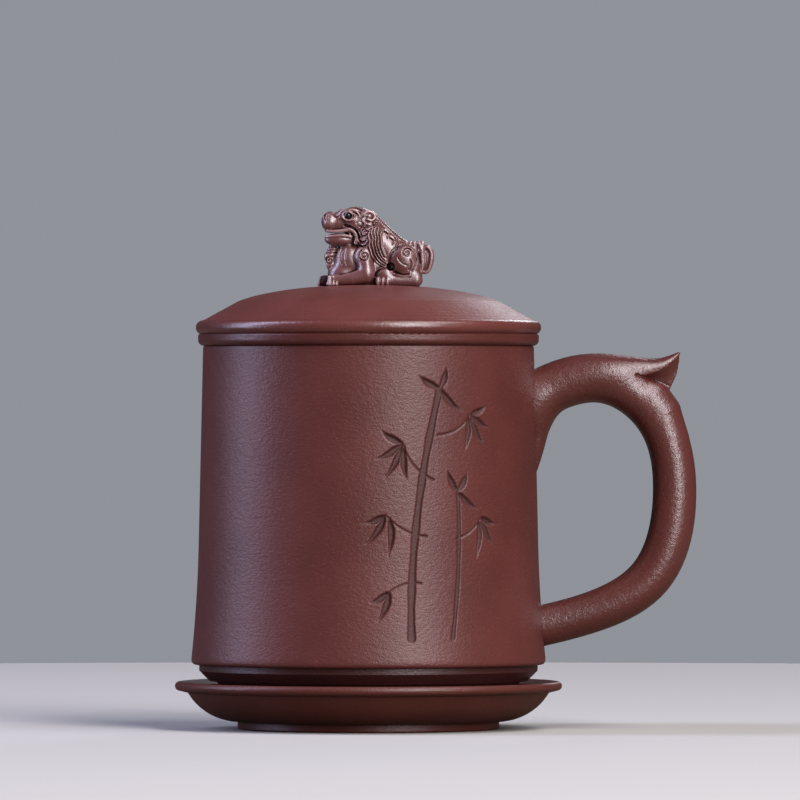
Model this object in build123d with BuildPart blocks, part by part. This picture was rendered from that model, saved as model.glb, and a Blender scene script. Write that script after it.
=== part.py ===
"""Lidded tea mug of unglazed purple clay: a saucer, a straight-sided mug with a loop handle, an infuser
that hangs in the mug's mouth, and a domed lid whose knob is a crouching guardian beast.

Millimetres, +Z up. The origin is on the mug's axis, on the plane that the saucer's foot ring stands on.
The handle points along +X and the beast looks towards -X, so its left side faces -Y. Pieces that the potter
joins with slip meet face to face. The mug, the infuser and the lid each lift straight up out of what
carries them.
"""

from build123d import *
from math import cos, radians, sin
import os

os.makedirs("parts", exist_ok=True)

# ---- saucer ----
saucer_foot_radius = 34.0
saucer_foot_width = 3.8
saucer_foot_height = 2.0
saucer_floor_thickness = 3.4
saucer_radius = 50.3
saucer_lip_width = 3.3
saucer_rise_turn = 60.0  # degrees that the underside has turned between the foot ring and the lip
saucer_lip_thickness = 2.3
saucer_lip_tilt = 0.8  # the underside of the lip climbs by this to its edge
saucer_lip_round = 1.1

# ---- mug ----
mug_seat_clearance = 0.8  # from the mug's foot ring out to where the saucer starts to rise
mug_foot_width = 4.4
mug_foot_height = 7.2
mug_foot_spread = 6.6  # the ring widens by this up to the base
mug_foot_recess = 1.6  # and its bore by this
mug_base_thickness = 4.2
mug_base_bevel = 2.6
mug_step_inset = 2.2  # the base stands back under the wall by this
mug_wall_height = 82.8
mug_mouth_radius = 43.0
mug_wall_thickness = 3.4
mug_wall_taper = 1.15  # from the mouth down to where the flare starts
mug_flare_height = 31.2
mug_flare = 2.05
mug_foot_wall_thickness = 5.0  # where the wall stands on the base
mug_corner_round = 1.1
mug_rim_round = 0.5

# ---- handle ----
handle_foot_height = 11.2  # lower root's middle over the wall's foot
handle_height = 63.1  # from the lower root's middle up to the crown's
handle_reach = 36.6  # from the mouth out to the limb's middle at the belly
handle_belly_height = 34.0
handle_foot_drop = 2.0  # of the lower root's middle, to the wall
handle_sole_reach = 14.0  # the nearly level run out of the lower root
handle_sole_height = 2.0
handle_heel_reach = 29.6  # the bend up from it
handle_heel_height = 10.8
handle_shoulder_reach = 31.6  # the bend under the thumb rest
handle_shoulder_height = 53.4
handle_crown_reach = 17.0
handle_neck_reach = 6.6
handle_neck_drop = 1.7  # under the crown's middle, where the limb falls to the wall
handle_root_drop = 5.6
handle_root_thickness = 12.8
handle_crown_thickness = 12.6
handle_belly_thickness = 11.3
handle_foot_thickness = 10.7
handle_flatness = 1.04  # depth across the handle over its thickness
handle_tail_length = 20.5  # the upper root runs out down the wall
handle_tail_rise = 2.0  # of its top, up inside the limb
handle_tail_width = 11.0
handle_tail_proud = 9.0  # at its top, out from the mouth's radius
spur_reach = 21.4  # thumb rest's tip, beyond the crown
spur_rise = 0.4  # its tip over the crown's top
spur_heel = 8.8
spur_width = 8.6
spur_tip_width = 2.0

# ---- infuser ----
infuser_clearance = 0.8
infuser_wall_thickness = 2.6
infuser_depth = 70.0
infuser_taper = 2.2
infuser_floor_thickness = 2.6
infuser_hole_radius = 1.4
infuser_hole_pitch = 11.0
infuser_hole_rings = 2
flange_thickness = 3.1
flange_overhang = 1.3
flange_round = 1.5
flange_top_round = 0.6

# ---- lid ----
collar_clearance = 0.5
collar_depth = 6.2
collar_thickness = 2.6
lid_rim_thickness = 3.5
lid_rim_overhang = 0.6
lid_edge_inset = 1.0  # the rounded edge's foot, in from its nose
lid_nose_height = 1.6
lid_shoulder_inset = 1.9
lid_dome_rise = 9.2
lid_crease_inset = 9.0  # from the shoulder in to where the slope turns over into the dome
lid_crease_rise = 4.9
lid_crown_inset = 18.4
lid_crown_drop = 1.8
lid_shell = 3.0
vent_radius = 1.1

# ---- beast; its heights count from the top of the dome, its reaches from the mug's axis ----
lump_flat = 7.0  # degrees round each end of a lump that are left flat
back_slope = 42.0  # degrees, from the mane down to the rump
back_reach = 3.2
back_height = 9.3
back_half_length = 9.6
back_radius = 5.3
chest_reach = 3.6
chest_height = 6.6
chest_radius = 5.7
belly_height = 3.5
belly_radius = 4.7
rump_reach = 9.4
rump_height = 5.5
rump_radius = 5.7
rump_half_width = 5.7
head_turn = 8.0  # degrees, towards its left
skull_reach = 3.5
skull_height = 16.2
skull_half_width = 4.9
skull_half_depth = 4.3
muzzle_reach = 7.8
muzzle_drop = 0.5  # under the skull's middle
muzzle_half_length = 4.5
muzzle_radius = 3.0
nose_reach = 9.8
nose_rise = 0.4
nose_radius = 2.5
nose_half_width = 2.9
eye_reach = 5.3
eye_rise = 1.7
eye_spread = 4.1
eye_radius = 1.0
brow_rise = 2.7
brow_spread = 2.5
brow_half_length = 2.0
brow_radius = 1.2
cheek_spread = 3.0
cheek_rise = 0.2  # over the mouth
cheek_half_height = 2.8
cheek_radius = 2.3
mouth_height = 13.7
mouth_gap = 0.9
mouth_reach = 4.4  # its corner, in front of the neck
jaw_reach = 7.0
jaw_drop = 0.4
jaw_tilt = 4.0  # degrees
jaw_half_length = 4.7
jaw_radius = 2.7
mane_reach = 0.2
mane_height = 11.8
mane_radius = 6.6
mane_half_thickness = 4.4
mane_lean = 10.0  # degrees, its foot set back from its top
lock_reach = 0.8
lock_rise = 1.6
lock_spread = 4.4
lock_half_width = 1.3
lock_radius = 1.6
leg_spread = 5.2  # each leg's middle, out from the beast's
leg_height = 1.3
leg_radius = 1.8
paw_height = 0.9
paw_radius = 1.8
paw_half_width = 1.9
paw_inset = 0.2  # of the leg's middle
shoulder_reach = 1.6
shoulder_height = 5.6
shoulder_half_height = 4.0
shoulder_half_width = 2.4
shoulder_inset = 0.4
knob_reach = 1.1
knob_height = 7.1
knob_proud = 1.2
knob_radius = 1.1
elbow_reach = 0.4  # behind the mug's axis
forearm_length = 10.8
forepaw_reach = 9.2
right_paw_lead = 2.4  # the right forepaw is set further forward
haunch_reach = 9.6
haunch_height = 6.2
haunch_inset = 0.7
haunch_half_width = 2.3
haunch_radius = 3.9
foot_reach = 7.7
foot_half_length = 4.6
toes_reach = 3.4
chest_scroll_reach = 9.5
chest_scroll_height = 7.5
chest_scroll_half_height = 2.5
chest_scroll_radius = 1.8
tail_reach = 12.6
tail_height = 7.4
tail_half_height = 4.4
tail_radius = 2.4
tuft_reach = 12.0
tuft_height = 10.2
tuft_pitch = 1.5
tuft_half_width = 2.6
tuft_radius = 1.3
tail_curl_reach = 15.4
tail_curl_height = 6.4
tail_curl_half_height = 3.5
tail_curl_radius = 1.6
vent_reach = 5.7  # the hole in its left flank, over the one through the dome
vent_height = 4.5

# ---- heights and radii that follow from those ----
saucer_floor_top = saucer_foot_height + saucer_floor_thickness
mug_foot_radius = saucer_foot_radius - mug_seat_clearance
mug_base_bottom = saucer_floor_top + mug_foot_height
wall_bottom = mug_base_bottom + mug_base_thickness
wall_top = wall_bottom + mug_wall_height
wall_foot_radius = mug_mouth_radius + mug_wall_taper + mug_flare
mouth_bore = mug_mouth_radius - mug_wall_thickness
infuser_radius = mouth_bore - infuser_clearance
infuser_foot_radius = infuser_radius - infuser_taper
infuser_bore = infuser_radius - infuser_wall_thickness
infuser_bottom = wall_top - infuser_depth
infuser_floor_top = infuser_bottom + infuser_floor_thickness
flange_top = wall_top + flange_thickness
flange_radius = mug_mouth_radius + flange_overhang
collar_radius = infuser_bore - collar_clearance
collar_bore = collar_radius - collar_thickness
lid_radius = flange_radius + lid_rim_overhang
lid_rim_top = flange_top + lid_rim_thickness
shoulder_radius = lid_radius - lid_shoulder_inset
dome_top = lid_rim_top + lid_dome_rise


def lump(at, half_length, radius, turn=(0, 0, 0), seam=0):
    """A rounded mass of clay: a spheroid along its own X, turned about its middle, with tiny flat ends.

    The seam is where its surface starts, in degrees round its own X.
    """
    own = Plane(Location(at, turn) * Location((0, 0, 0), (seam, 0, 0)))
    with BuildSketch(own) as half:
        with BuildLine():
            arch = EllipticalCenterArc(
                (0, 0), half_length, radius, start_angle=lump_flat, arc_size=180 - 2 * lump_flat
            )
            Polyline(arch @ 1, ((arch @ 1).X, 0), ((arch @ 0).X, 0), arch @ 0)
        make_face()
    revolve(half.sketch, axis=Axis(at, own.x_dir))


# ============================ saucer ============================

# Thrown dish: a flat well, a rounded rise and a lip that turns out.
rise_width = saucer_radius - saucer_lip_width - saucer_foot_radius
rise_radius = rise_width / sin(radians(saucer_rise_turn))
rise_middle = saucer_foot_height + rise_radius
lip_bottom = rise_middle - rise_radius * cos(radians(saucer_rise_turn))
lip_edge_bottom = lip_bottom + saucer_lip_tilt
lip_top = lip_edge_bottom + saucer_lip_thickness
well_rise_radius = rise_radius - saucer_floor_thickness

with BuildPart() as saucer_dish:
    with BuildSketch(Plane.XZ):
        with BuildLine():
            under = Line((0, saucer_foot_height), (saucer_foot_radius, saucer_foot_height))
            rise = CenterArc((saucer_foot_radius, rise_middle), rise_radius, -90, saucer_rise_turn)
            lip_under = Line(rise @ 1, (saucer_radius, lip_edge_bottom))
            edge = Line(lip_under @ 1, (saucer_radius, lip_top))
            well_rise = CenterArc(
                (saucer_foot_radius, rise_middle), well_rise_radius, -90, saucer_rise_turn
            )
            lip_upper = Line(edge @ 1, well_rise @ 1)
            well = Line(well_rise @ 0, (0, saucer_floor_top))
            Line(well @ 1, under @ 0)
        make_face()
    revolve(axis=Axis.Z)
    rim_edges = saucer_dish.edges().filter_by(GeomType.CIRCLE).filter_by(
        lambda e: abs(e.radius - saucer_radius) < 0.01
    )
    fillet(rim_edges, saucer_lip_round)

with BuildPart() as saucer_foot_ring:
    with BuildSketch():
        Circle(saucer_foot_radius)
        Circle(saucer_foot_radius - saucer_foot_width, mode=Mode.SUBTRACT)
    extrude(amount=saucer_foot_height)
    standing = saucer_foot_ring.faces().sort_by(Axis.Z)[0]
    chamfer(standing.edges(), saucer_foot_height / 5)

# ============================ mug ============================

with BuildPart() as mug_foot_ring:
    with BuildSketch(Plane.XZ):
        with BuildLine():
            Polyline(
                (mug_foot_radius - mug_foot_width, saucer_floor_top),
                (mug_foot_radius, saucer_floor_top),
                (mug_foot_radius + mug_foot_spread, mug_base_bottom),
                (mug_foot_radius - mug_foot_width + mug_foot_recess, mug_base_bottom),
                close=True,
            )
        make_face()
    revolve(axis=Axis.Z)

with BuildPart() as mug_base:
    base_radius = wall_foot_radius - mug_step_inset
    with BuildSketch(Plane.XY.offset(mug_base_bottom)):
        Circle(base_radius)
    extrude(amount=mug_base_thickness)
    chamfer(mug_base.faces().sort_by(Axis.Z)[0].edges(), mug_base_bevel)

# The wall is straight for most of its height and flares into the foot. Its bore is nearly straight.
flare_top = wall_bottom + mug_flare_height
flare_top_radius = mug_mouth_radius + mug_wall_taper

with BuildPart() as mug_wall:
    with BuildSketch(Plane.XZ):
        with BuildLine():
            side = Line((mug_mouth_radius, wall_top), (flare_top_radius, flare_top))
            flare = TangentArc(side @ 1, (wall_foot_radius, wall_bottom), tangent=side % 1)
            foot = Line(flare @ 1, (wall_foot_radius - mug_foot_wall_thickness, wall_bottom))
            bore = Line(foot @ 1, (mouth_bore, wall_top))
            Line(bore @ 1, side @ 0)
        make_face()
    revolve(axis=Axis.Z)
    outer_corner = mug_wall.faces().sort_by(Axis.Z)[0].edges().sort_by(SortBy.RADIUS)[-1]
    fillet(outer_corner, mug_corner_round)
    rim = mug_wall.faces().sort_by(Axis.Z)[-1].edges()
    fillet(rim, mug_rim_round)

# The wall's outside as a filled form, which the handle's roots are cut to.
with BuildPart() as mug_form:
    with BuildSketch(Plane.XZ):
        with BuildLine():
            form_side = Line((mug_mouth_radius, wall_top), (flare_top_radius, flare_top))
            form_flare = TangentArc(
                form_side @ 1, (wall_foot_radius, wall_bottom), tangent=form_side % 1
            )
            Polyline(form_flare @ 1, (0, wall_bottom), (0, wall_top), form_side @ 0)
        make_face()
    revolve(axis=Axis.Z)

# ============================ handle ============================

handle_foot_z = wall_bottom + handle_foot_height
crown_z = handle_foot_z + handle_height
root_depth = mug_wall_thickness / 2  # the limb is drawn from inside the wall, then cut to it
handle_route = (
    (-root_depth, -handle_foot_drop),
    (handle_sole_reach, handle_sole_height),
    (handle_heel_reach, handle_heel_height),
    (handle_reach, handle_belly_height),
    (handle_shoulder_reach, handle_shoulder_height),
    (handle_crown_reach, handle_height),
    (handle_neck_reach, handle_height - handle_neck_drop),
    (-root_depth, handle_height - handle_root_drop),
)
handle_thickness = (
    handle_foot_thickness,
    handle_foot_thickness,
    handle_belly_thickness,
    handle_belly_thickness,
    handle_belly_thickness,
    handle_crown_thickness,
    handle_root_thickness,
    handle_root_thickness,
)

with BuildPart() as handle_loop:
    route = [(mug_mouth_radius + reach, 0, handle_foot_z + height) for reach, height in handle_route]
    with BuildLine(mode=Mode.PRIVATE):
        limb_line = Spline(*route)
    for point, thickness in zip(route, handle_thickness):
        share = limb_line.param_at_point(point)
        limb_plane = Plane(origin=point, x_dir=(0, 1, 0), z_dir=limb_line % share)
        with BuildSketch(limb_plane):
            Ellipse(thickness * handle_flatness / 2, thickness / 2)
    loft()
    # The upper root is drawn down the wall into a pointed tail.
    tail_top = crown_z - handle_root_drop + handle_tail_rise
    tail_sections = (
        (0.0, 0.85, 1.0),
        (0.21, 1.0, 0.86),
        (0.46, 0.9, 0.54),
        (0.73, 0.66, 0.3),
        (1.0, 0.3, 0.11),
    )
    for share, breadth, depth in tail_sections:
        with BuildSketch(Plane.XY.offset(tail_top - share * handle_tail_length)):
            with Locations((mug_mouth_radius, 0)):
                Ellipse(handle_tail_proud * depth, handle_tail_width * breadth / 2)
    loft()
    add(mug_form.part, mode=Mode.SUBTRACT)

with BuildPart() as handle_thumb_spur:
    spur_tip_x = mug_mouth_radius + handle_crown_reach + spur_reach
    spur_top_z = crown_z + handle_crown_thickness / 2
    spur_sections = (
        (0.0, spur_width, handle_crown_thickness * 0.94, 0.0),
        (0.45, spur_width, handle_crown_thickness * 0.8, -0.5),
        (0.8, spur_width * 0.8, spur_heel, -0.4),
        (1.0, spur_tip_width, spur_heel / 3, spur_rise),
    )
    for share, breadth, height, rise_at in spur_sections:
        spur_x = spur_tip_x - spur_reach * (1 - share)
        spur_middle = spur_top_z + rise_at - height / 2
        with BuildSketch(Plane(origin=(spur_x, 0, spur_middle), x_dir=(0, 1, 0), z_dir=(1, 0, 0))):
            Ellipse(breadth / 2, height / 2)
    loft()
    add(handle_loop.part, mode=Mode.SUBTRACT)
    add(mug_form.part, mode=Mode.SUBTRACT)

# ============================ infuser ============================

with BuildPart() as infuser_floor:
    with BuildSketch(Plane.XY.offset(infuser_bottom)):
        Circle(infuser_foot_radius)
        Circle(infuser_hole_radius, mode=Mode.SUBTRACT)
        for ring in range(1, infuser_hole_rings + 1):
            with PolarLocations(ring * infuser_hole_pitch, 6 * ring):
                Circle(infuser_hole_radius, mode=Mode.SUBTRACT)
    extrude(amount=infuser_floor_thickness)

with BuildPart() as infuser_wall:
    with BuildSketch(Plane.XZ):
        with BuildLine():
            Polyline(
                (infuser_foot_radius, infuser_floor_top),
                (infuser_radius, wall_top),
                (infuser_bore, wall_top),
                (infuser_foot_radius - infuser_wall_thickness, infuser_floor_top),
                close=True,
            )
        make_face()
    revolve(axis=Axis.Z)

with BuildPart() as infuser_flange:
    with BuildSketch(Plane.XY.offset(wall_top)):
        Circle(flange_radius)
        Circle(infuser_bore, mode=Mode.SUBTRACT)
    extrude(amount=flange_thickness)
    flange_under = infuser_flange.faces().sort_by(Axis.Z)[0].edges().sort_by(SortBy.RADIUS)[-1]
    fillet(flange_under, flange_round)
    flange_upper = infuser_flange.faces().sort_by(Axis.Z)[-1].edges().sort_by(SortBy.RADIUS)[-1]
    fillet(flange_upper, flange_top_round)

# ============================ lid ============================

with BuildPart() as lid_collar:
    with BuildSketch(Plane.XY.offset(flange_top - collar_depth)):
        Circle(collar_radius)
        Circle(collar_bore, mode=Mode.SUBTRACT)
    extrude(amount=collar_depth)
    collar_foot = lid_collar.faces().sort_by(Axis.Z)[0].edges().sort_by(SortBy.RADIUS)[-1]
    chamfer(collar_foot, collar_thickness / 4)

with BuildPart() as lid_rim:
    with BuildSketch(Plane.XZ):
        with BuildLine():
            seat = Line((collar_bore, flange_top), (lid_radius - lid_edge_inset, flange_top))
            nose = ThreePointArc(
                seat @ 1,
                (lid_radius, flange_top + lid_nose_height),
                (shoulder_radius, lid_rim_top),
            )
            Polyline(nose @ 1, (collar_bore, lid_rim_top), seat @ 0)
        make_face()
    revolve(axis=Axis.Z)

crease = (shoulder_radius - lid_crease_inset, lid_rim_top + lid_crease_rise)
crown_break = (shoulder_radius - lid_crown_inset, dome_top - lid_crown_drop)
dome_inner_top = dome_top - lid_shell

with BuildPart() as lid_dome:
    with BuildSketch(Plane.XZ):
        with BuildLine():
            slope = Line((shoulder_radius, lid_rim_top), crease)
            over = Spline(crease, crown_break, (0, dome_top), tangents=((-1, 0.42), (-1, 0)))
            Line(over @ 1, (0, dome_inner_top))
            inside = Spline(
                (0, dome_inner_top),
                (crown_break[0], crown_break[1] - lid_shell),
                (collar_bore, lid_rim_top),
                tangents=((1, 0), (0.5, -1)),
            )
            Line(inside @ 1, slope @ 0)
        make_face()
    revolve(axis=Axis.Z)
    with Locations((vent_reach, 0, dome_top)):
        Cylinder(vent_radius, 3 * lid_shell, mode=Mode.SUBTRACT)

# The dome filled in down to its rim, which everything on the lid is cut to.
with BuildPart() as lid_form:
    with BuildSketch(Plane.XZ):
        with BuildLine():
            form_slope = Line((shoulder_radius, lid_rim_top), crease)
            form_over = Spline(crease, crown_break, (0, dome_top), tangents=((-1, 0.42), (-1, 0)))
            Polyline(form_over @ 1, (0, flange_top), (shoulder_radius, flange_top), form_slope @ 0)
        make_face()
    revolve(axis=Axis.Z)

# ============================ beast ============================


def over_dome(x, y, z):
    """A point of the beast: z counts from the top of the dome."""
    return (x, y, dome_top + z)


def cut_to(*neighbours):
    """Cuts the piece being made back to the pieces it is joined to."""
    for neighbour in neighbours:
        add(neighbour.part, mode=Mode.SUBTRACT)


# Head: skull, muzzle and ball nose, brows and cheeks, with the open mouth cut under the muzzle.
head_y = -skull_half_width * sin(radians(head_turn))
facing = (0, 0, head_turn)
upright = (0, 90, 0)
across = (0, 0, 90)


def mouth_cut(low, high):
    """Clears the open mouth between two heights."""
    with Locations(over_dome(-mouth_reach, 0, low)):
        Box(
            2 * nose_reach,
            4 * skull_half_width,
            high - low,
            align=(Align.MAX, Align.CENTER, Align.MIN),
            mode=Mode.SUBTRACT,
        )


with BuildPart() as beast_head:
    skull_at = over_dome(-skull_reach, head_y / 2, skull_height)
    lump(skull_at, skull_half_depth, skull_half_width, upright, seam=90)
    muzzle_at = over_dome(-muzzle_reach, head_y, skull_height - muzzle_drop)
    lump(muzzle_at, muzzle_half_length, muzzle_radius, facing)
    nose_at = over_dome(-nose_reach, 1.2 * head_y, skull_height + nose_rise)
    lump(nose_at, nose_half_width, nose_radius, across)
    for side in (-1, 1):
        brow_at = over_dome(-eye_reach, head_y + side * brow_spread, skull_height + brow_rise)
        lump(brow_at, brow_half_length, brow_radius)
        cheek_y = head_y / 2 + side * cheek_spread
        lump(
            over_dome(-skull_reach, cheek_y, mouth_height + cheek_rise),
            cheek_half_height,
            cheek_radius,
            upright,
        )
    mouth_cut(mouth_height - skull_half_depth, mouth_height)

with BuildPart() as beast_lower_jaw:
    jaw_top = mouth_height - mouth_gap
    jaw_at = over_dome(-jaw_reach, head_y, jaw_top - jaw_drop)
    lump(jaw_at, jaw_half_length, jaw_radius, (0, jaw_tilt, head_turn))
    mouth_cut(jaw_top, jaw_top + jaw_radius)
    cut_to(beast_head)

# Torso: the sloping back, the chest, the belly that lies on the dome and the rump.
with BuildPart() as beast_torso:
    back_at = over_dome(back_reach, 0, back_height)
    lump(back_at, back_half_length, back_radius, (0, back_slope, 0))
    lump(over_dome(-chest_reach, 0, chest_height), chest_radius, chest_radius)
    lump(over_dome(back_reach, 0, belly_height), rump_reach, belly_radius)
    lump(over_dome(rump_reach, 0, rump_height), rump_half_width, 0.86 * rump_radius, across)
    mouth_cut(jaw_top, mouth_height)
    cut_to(lid_form, beast_head, beast_lower_jaw)
    # The vent rises through the dome and turns out of the left flank, where it doesn't drip.
    with Locations(over_dome(vent_reach, 0, 0)):
        Cylinder(vent_radius, 2 * vent_height, mode=Mode.SUBTRACT)
    with Locations(Location(over_dome(vent_reach, 0, vent_height), (90, 0, 0))):
        Cylinder(
            vent_radius,
            2 * rump_radius,
            align=(Align.CENTER, Align.CENTER, Align.MIN),
            mode=Mode.SUBTRACT,
        )

# Mane: a ruff of hair round the neck, with a curled lock behind each eye.
with BuildPart() as beast_mane:
    mane_at = over_dome(mane_reach, 0, mane_height)
    lump(mane_at, mane_half_thickness, mane_radius, (0, -mane_lean, 0), seam=45)
    for side in (-1, 1):
        lock_at = over_dome(-lock_reach, side * lock_spread, skull_height + lock_rise)
        lump(lock_at, lock_half_width, lock_radius, across)
    cut_to(beast_head, beast_lower_jaw, beast_torso)


# Legs: it lies with its forearms stretched out and its hind feet drawn up under the haunches.
def foreleg(side, lead):
    """One foreleg: shoulder with its knob, forearm along the dome, paw."""
    shoulder_y = side * (leg_spread - shoulder_inset)
    shoulder_at = over_dome(-shoulder_reach, shoulder_y, shoulder_height)
    lump(shoulder_at, shoulder_half_height, shoulder_half_width, upright)
    knob_at = over_dome(-knob_reach, side * (leg_spread + knob_proud), knob_height)
    lump(knob_at, knob_radius, knob_radius)
    forearm_half = (forearm_length + lead) / 2
    lump(over_dome(elbow_reach - forearm_half, side * leg_spread, leg_height), forearm_half, leg_radius)
    paw_at = over_dome(-forepaw_reach - lead, side * (leg_spread - paw_inset), paw_height)
    lump(paw_at, paw_half_width, paw_radius, across)


def hind_leg(side):
    """One hind leg: haunch, foot along the dome, toes."""
    haunch_at = over_dome(haunch_reach, side * (leg_spread - haunch_inset), haunch_height)
    lump(haunch_at, haunch_half_width, haunch_radius, across)
    lump(over_dome(foot_reach, side * leg_spread, leg_height), foot_half_length, leg_radius)
    lump(over_dome(toes_reach, side * leg_spread, paw_height), paw_half_width, paw_radius, across)


with BuildPart() as beast_foreleg_left:
    foreleg(-1, 0)
    cut_to(lid_form, beast_torso, beast_mane)

with BuildPart() as beast_foreleg_right:
    foreleg(1, right_paw_lead)
    cut_to(lid_form, beast_torso, beast_mane)

with BuildPart() as beast_hind_leg_left:
    hind_leg(-1)
    cut_to(lid_form, beast_torso, beast_mane)
    with Locations(Location(over_dome(vent_reach, 0, vent_height), (90, 0, 0))):
        Cylinder(vent_radius, 4 * rump_radius, mode=Mode.SUBTRACT)

with BuildPart() as beast_hind_leg_right:
    hind_leg(1)
    cut_to(lid_form, beast_torso, beast_mane)

with BuildPart() as beast_chest_scroll:
    scroll_at = over_dome(-chest_scroll_reach, head_y, chest_scroll_height)
    lump(scroll_at, chest_scroll_half_height, chest_scroll_radius, upright)
    cut_to(lid_form, beast_torso, beast_lower_jaw, beast_foreleg_left, beast_foreleg_right)

# Tail: it stands up behind the rump, with flame tufts on top and a curl at the back.
with BuildPart() as beast_tail:
    lump(over_dome(tail_reach, 0, tail_height), tail_half_height, tail_radius, upright)
    for tuft in (-1, 0, 1):
        tuft_at = over_dome(tuft_reach + tuft * tuft_pitch, 0, tuft_height)
        lump(tuft_at, tuft_half_width, tuft_radius, across)
    cut_to(lid_form, beast_torso, beast_hind_leg_left, beast_hind_leg_right)

with BuildPart() as beast_tail_curl:
    curl_at = over_dome(tail_curl_reach, 0, tail_curl_height)
    lump(curl_at, tail_curl_half_height, tail_curl_radius, upright)
    cut_to(beast_torso, beast_tail, beast_hind_leg_left, beast_hind_leg_right)

# Eyes: glossy beads pressed into the head, one on each side of the muzzle.
eye_height = skull_height + eye_rise

with BuildPart() as beast_eye_left:
    lump(over_dome(-eye_reach, head_y / 2 - eye_spread, eye_height), eye_radius, eye_radius)

with BuildPart() as beast_eye_right:
    lump(over_dome(-eye_reach, head_y / 2 + eye_spread, eye_height), eye_radius, eye_radius)

with beast_head:
    cut_to(beast_eye_left, beast_eye_right)

pieces = {
    "saucer_dish": saucer_dish,
    "saucer_foot_ring": saucer_foot_ring,
    "mug_foot_ring": mug_foot_ring,
    "mug_base": mug_base,
    "mug_wall": mug_wall,
    "handle_loop": handle_loop,
    "handle_thumb_spur": handle_thumb_spur,
    "infuser_floor": infuser_floor,
    "infuser_wall": infuser_wall,
    "infuser_flange": infuser_flange,
    "lid_collar": lid_collar,
    "lid_rim": lid_rim,
    "lid_dome": lid_dome,
    "beast_head": beast_head,
    "beast_lower_jaw": beast_lower_jaw,
    "beast_torso": beast_torso,
    "beast_mane": beast_mane,
    "beast_foreleg_left": beast_foreleg_left,
    "beast_foreleg_right": beast_foreleg_right,
    "beast_hind_leg_left": beast_hind_leg_left,
    "beast_hind_leg_right": beast_hind_leg_right,
    "beast_chest_scroll": beast_chest_scroll,
    "beast_tail": beast_tail,
    "beast_tail_curl": beast_tail_curl,
    "beast_eye_left": beast_eye_left,
    "beast_eye_right": beast_eye_right,
}
for name, piece in pieces.items():
    piece.part.label = name
    export_step(piece.part, f"parts/{name}.step")
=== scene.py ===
"""Lidded tea mug of unglazed purple clay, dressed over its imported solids.

The saucer, the mug with its handle, the infuser and the lid come in the order in which they
are stacked.
"""

from math import cos, pi, radians, sin

import bpy
import numpy as np
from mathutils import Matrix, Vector


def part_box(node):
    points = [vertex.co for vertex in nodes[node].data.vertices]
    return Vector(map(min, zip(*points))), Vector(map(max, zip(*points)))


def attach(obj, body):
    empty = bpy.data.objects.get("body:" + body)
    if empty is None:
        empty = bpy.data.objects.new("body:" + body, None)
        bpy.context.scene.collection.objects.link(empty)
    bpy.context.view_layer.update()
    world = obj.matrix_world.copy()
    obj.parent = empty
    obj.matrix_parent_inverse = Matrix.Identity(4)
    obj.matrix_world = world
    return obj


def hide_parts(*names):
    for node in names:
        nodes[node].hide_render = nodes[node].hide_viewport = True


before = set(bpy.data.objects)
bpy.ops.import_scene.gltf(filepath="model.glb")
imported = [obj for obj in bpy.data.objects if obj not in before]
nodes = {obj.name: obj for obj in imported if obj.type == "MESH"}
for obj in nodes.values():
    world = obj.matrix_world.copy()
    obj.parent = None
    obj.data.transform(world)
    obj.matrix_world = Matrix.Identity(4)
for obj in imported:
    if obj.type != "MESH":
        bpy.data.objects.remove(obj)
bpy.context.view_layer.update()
scene = bpy.context.scene
scene.view_settings.view_transform = "Standard"
MM = 0.001

# ---------------------------------------------------------------- studio
# A level camera a long way off, as for a product on a table: the mug's sides stay upright.
# Tall soft boxes stand at the left and at the right front, a wide one hangs overhead, and a
# small one behind lights the edges.
MUG_MIDDLE = Vector((0, 0, 0.07))
camera_data = bpy.data.cameras.new("camera")
camera_data.lens = 450
camera_data.sensor_width = 36
camera_data.clip_end = 60
camera = bpy.data.objects.new("camera", camera_data)
camera.location = (0.0082, -2.6, 0.0855)
camera.rotation_euler = (radians(90), 0, 0)
scene.collection.objects.link(camera)
scene.camera = camera


def soft_box(name, bearing, height, distance, size, watts, colour):
    """A rectangular lamp turned to the mug, in metres.

    Bearing is in degrees from the camera's side, to its right.
    """
    lamp = bpy.data.lights.new(name, "AREA")
    lamp.shape = "RECTANGLE"
    lamp.size, lamp.size_y = size
    lamp.energy = watts
    lamp.color = colour
    box = bpy.data.objects.new(name, lamp)
    turn = radians(bearing)
    box.location = (distance * sin(turn), -distance * cos(turn), height)
    box.rotation_euler = (MUG_MIDDLE - box.location).to_track_quat("-Z", "Y").to_euler()
    box.visible_camera = False
    scene.collection.objects.link(box)


soft_box(
    "left_box", bearing=-91, height=0.6, distance=1.1,
    size=(0.34, 1.6), watts=15.5, colour=(0.66, 0.68, 1.0),
)
soft_box(
    "right_box", bearing=30, height=0.954, distance=1.885,
    size=(0.7, 2.08), watts=55.8, colour=(1.0, 0.95, 0.98),
)
soft_box(
    "top_box", bearing=58, height=1.5, distance=0.85,
    size=(0.8, 0.8), watts=11, colour=(1.0, 0.96, 0.97),
)
soft_box(
    "rear_box", bearing=163, height=0.72, distance=1.3,
    size=(0.3, 0.3), watts=2.8, colour=(0.9, 0.92, 1.0),
)


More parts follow.
